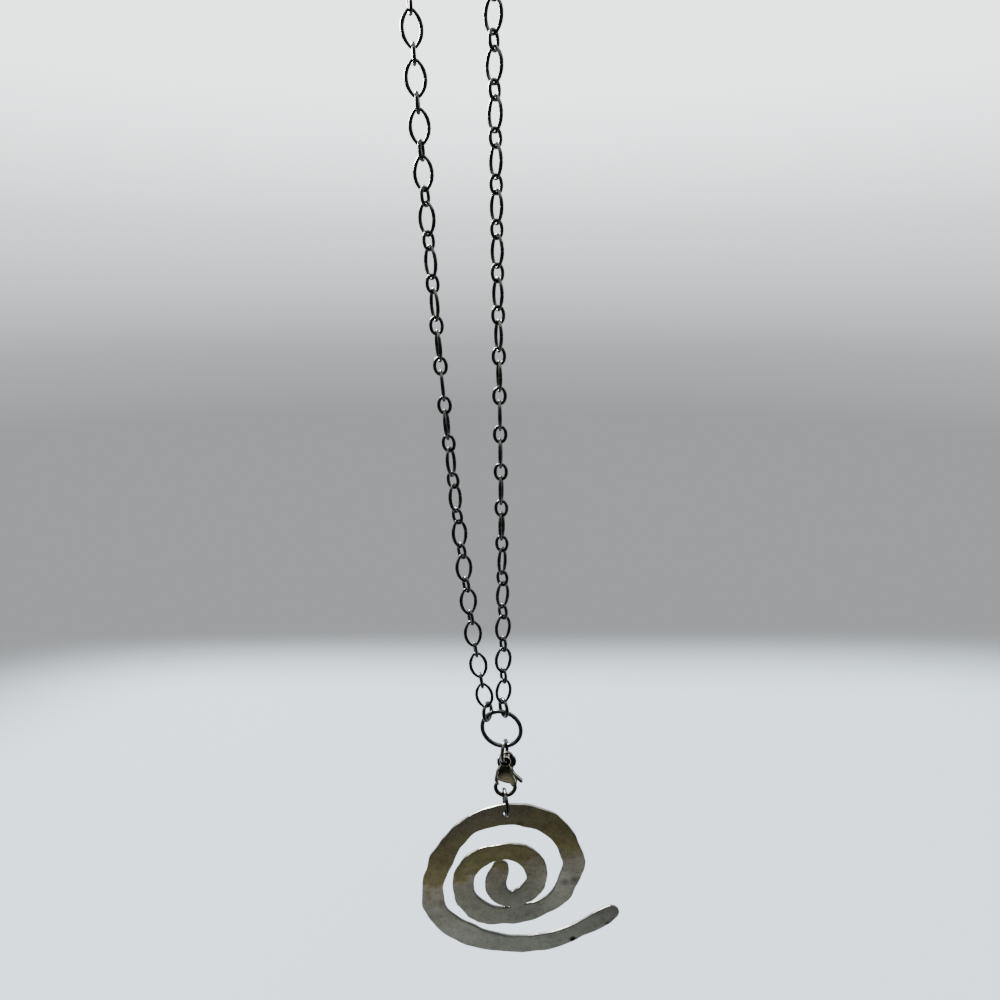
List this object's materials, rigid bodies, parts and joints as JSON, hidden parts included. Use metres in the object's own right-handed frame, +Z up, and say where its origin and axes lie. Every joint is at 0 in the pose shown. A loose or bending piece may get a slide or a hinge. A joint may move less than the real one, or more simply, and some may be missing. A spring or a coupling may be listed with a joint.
{
  "type": "spiral pendant",
  "caption": "Flat hammered metal spiral hung by a jump ring and a lobster clasp from a round ring on a long chain loop.",
  "frame": {"origin": "the underside of the top of the chain loop, where the necklace hangs", "axes": "+Z up, +X to the right as seen from the front, -Y towards the viewer of the spiral's face"},
  "size_m": [0.0528, 0.007, 0.3779],
  "materials": {
    "chain": "blackened steel wire, polished by wear",
    "rings": "blackened steel wire, polished by wear",
    "clasp": "antiqued cast metal, dark in the hollows",
    "lever": "antiqued stamped metal",
    "tag": "blackened stamped metal",
    "spiral": "satin, hammered flat, slightly tarnished"
  },
  "bodies": {
    "necklace": {"chain_left": "chain", "chain_right": "chain", "centre_ring": "rings"},
    "hanger": {"clasp_ring": "rings", "back_tag": "tag"},
    "clasp": {"clasp_body": "clasp"},
    "lever": {"clasp_lever": "lever"},
    "pendant_link": {"pendant_ring": "rings"},
    "pendant": {"spiral": "spiral"}
  },
  "joints": [
    {"name": "drop_swing", "type": "hinge", "parent": "necklace", "child": "hanger", "pos_m": [0.0005, -0.00011, -0.31017], "axis": [0.9781, -0.2079, 0], "range_deg": [-60, 60]},
    {"name": "clasp_sway", "type": "hinge", "parent": "hanger", "child": "clasp", "pos_m": [0.0005, 0, -0.31416], "axis": [0, 1, 0], "range_deg": [-40, 40]},
    {"name": "lever_open", "type": "hinge", "parent": "clasp", "child": "lever", "pos_m": [0.00116, 0, -0.31831], "axis": [0, -1, 0], "range_deg": [0, 25], "stiffness_Nm_per_rad": 0.01},
    {"name": "pendant_swing", "type": "hinge", "parent": "clasp", "child": "pendant_link", "pos_m": [0.00002, 0, -0.32472], "axis": [1, 0, 0], "range_deg": [-60, 60]},
    {"name": "spiral_sway", "type": "hinge", "parent": "pendant_link", "child": "pendant", "pos_m": [0.00002, 0, -0.32996], "axis": [0, 1, 0], "range_deg": [-40, 40]}
  ]
}
